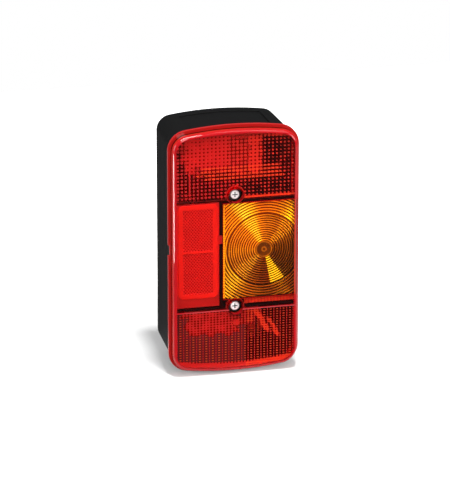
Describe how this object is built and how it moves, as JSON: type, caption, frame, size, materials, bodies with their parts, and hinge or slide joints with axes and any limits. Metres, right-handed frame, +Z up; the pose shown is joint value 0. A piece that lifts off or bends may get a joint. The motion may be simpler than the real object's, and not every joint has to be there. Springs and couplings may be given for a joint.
{
  "type": "trailer tail light",
  "caption": "Upright rear lamp with a black box housing and a screwed-on red lens that has an amber indicator window and a reflex reflector.",
  "frame": {"origin": "centre of the flat mounting face at the back, midway between the fixing holes", "axes": "+Z up, +Y into the vehicle, lens facing -Y, +X towards the amber side"},
  "size_m": [0.098, 0.0635, 0.19],
  "materials": {
    "black_plastic": "fine-grained moulded black plastic",
    "red_lens": "clear red, polished outside",
    "amber_lens": "clear amber, polished outside",
    "reflex_red": "clear red over corner-cube prisms",
    "white_plastic": "plain moulded",
    "seal_rubber": "soft, matt",
    "bright_screw": "bright plated",
    "rivet_steel": "plain",
    "screw_steel": "zinc plated",
    "brass": "plain",
    "zinc_steel": "bright zinc plated sheet",
    "fibre": "pressed insulating board",
    "spring_steel": "drawn wire",
    "cap_brass": "plain",
    "black_glass": "smooth",
    "solder": "dull",
    "bulb_glass": "clear",
    "tungsten": "drawn wire",
    "wire_red": "cable sheath",
    "wire_brown": "cable sheath",
    "wire_yellow": "cable sheath",
    "wire_blue": "cable sheath",
    "wire_white": "cable sheath"
  },
  "bodies": {
    "housing": {"bulb_plate_amber": "zinc_steel", "bulb_plate_lower": "zinc_steel", "bulb_plate_upper": "zinc_steel", "cable_grommet": "seal_rubber", "feed_strip_amber": "brass", "feed_strip_lower": "brass", "feed_strip_upper": "brass", "housing_floor": "black_plastic", "housing_posts": "black_plastic", "housing_walls": "black_plastic", "lens_gasket": "seal_rubber", "plate_rivets": "rivet_steel", "screen_bottom": "black_plastic", "screen_side": "black_plastic", "screen_top": "black_plastic", "socket_amber": "zinc_steel", "socket_base_amber": "fibre", "socket_base_lower": "fibre", "socket_base_upper": "fibre", "socket_lower": "zinc_steel", "socket_upper": "zinc_steel", "spring_amber": "spring_steel", "spring_lower": "spring_steel", "spring_upper": "spring_steel", "terminal_block": "white_plastic", "terminal_clamps": "brass", "terminal_screws": "screw_steel", "wire_earth": "wire_white", "wire_fog": "wire_blue", "wire_indicator": "wire_yellow", "wire_stop": "wire_red", "wire_tail": "wire_brown"},
    "lens": {"lens_red": "red_lens", "lens_amber": "amber_lens", "reflex_reflector": "reflex_red", "reflex_backing": "white_plastic", "screw_seals": "seal_rubber"},
    "screw_upper": {"lens_screw_upper": "bright_screw"},
    "screw_lower": {"lens_screw_lower": "bright_screw"},
    "contact_upper": {"contact_upper": "brass", "contact_disc_upper": "fibre"},
    "bulb_upper": {"bulb_cap_upper": "cap_brass", "bulb_foot_upper": "black_glass", "bulb_tip_upper": "solder", "bulb_glass_upper": "bulb_glass", "bulb_filament_upper": "tungsten"},
    "contact_amber": {"contact_amber": "brass", "contact_disc_amber": "fibre"},
    "bulb_amber": {"bulb_cap_amber": "cap_brass", "bulb_foot_amber": "black_glass", "bulb_tip_amber": "solder", "bulb_glass_amber": "bulb_glass", "bulb_filament_amber": "tungsten"},
    "contact_lower": {"contact_lower": "brass", "contact_disc_lower": "fibre"},
    "bulb_lower": {"bulb_cap_lower": "cap_brass", "bulb_foot_lower": "black_glass", "bulb_tip_lower": "solder", "bulb_glass_lower": "bulb_glass", "bulb_filament_lower": "tungsten"}
  },
  "joints": [
    {"name": "lens_lift", "type": "slide", "parent": "housing", "child": "lens", "axis": [0, -1, 0], "range_m": [0, 0.08]},
    {"name": "screw_upper_turn", "type": "hinge", "parent": "lens", "child": "screw_upper", "pos_m": [0, -0.058, 0.043], "axis": [0, -1, 0], "continuous": true},
    {"name": "screw_lower_turn", "type": "hinge", "parent": "lens", "child": "screw_lower", "pos_m": [0, -0.058, -0.043], "axis": [0, -1, 0], "continuous": true},
    {"name": "bulb_upper_push", "type": "slide", "parent": "housing", "child": "contact_upper", "axis": [0, 1, 0], "range_m": [0, 0.0015], "stiffness_N_per_m": 2000, "springref_m": -0.002, "deforming": ["spring_upper"]},
    {"name": "bulb_upper_turn", "type": "hinge", "parent": "contact_upper", "child": "bulb_upper", "pos_m": [0, -0.0163, 0.069], "axis": [0, -1, 0], "range_deg": [0, 30]},
    {"name": "bulb_amber_push", "type": "slide", "parent": "housing", "child": "contact_amber", "axis": [0, 1, 0], "range_m": [0, 0.0015], "stiffness_N_per_m": 2000, "springref_m": -0.002, "deforming": ["spring_amber"]},
    {"name": "bulb_amber_turn", "type": "hinge", "parent": "contact_amber", "child": "bulb_amber", "pos_m": [0.0215, -0.0163, 0], "axis": [0, -1, 0], "range_deg": [0, 30]},
    {"name": "bulb_lower_push", "type": "slide", "parent": "housing", "child": "contact_lower", "axis": [0, 1, 0], "range_m": [0, 0.0015], "stiffness_N_per_m": 2000, "springref_m": -0.002, "deforming": ["spring_lower"]},
    {"name": "bulb_lower_turn", "type": "hinge", "parent": "contact_lower", "child": "bulb_lower", "pos_m": [0, -0.0163, -0.069], "axis": [0, -1, 0], "range_deg": [0, 30]}
  ]
}
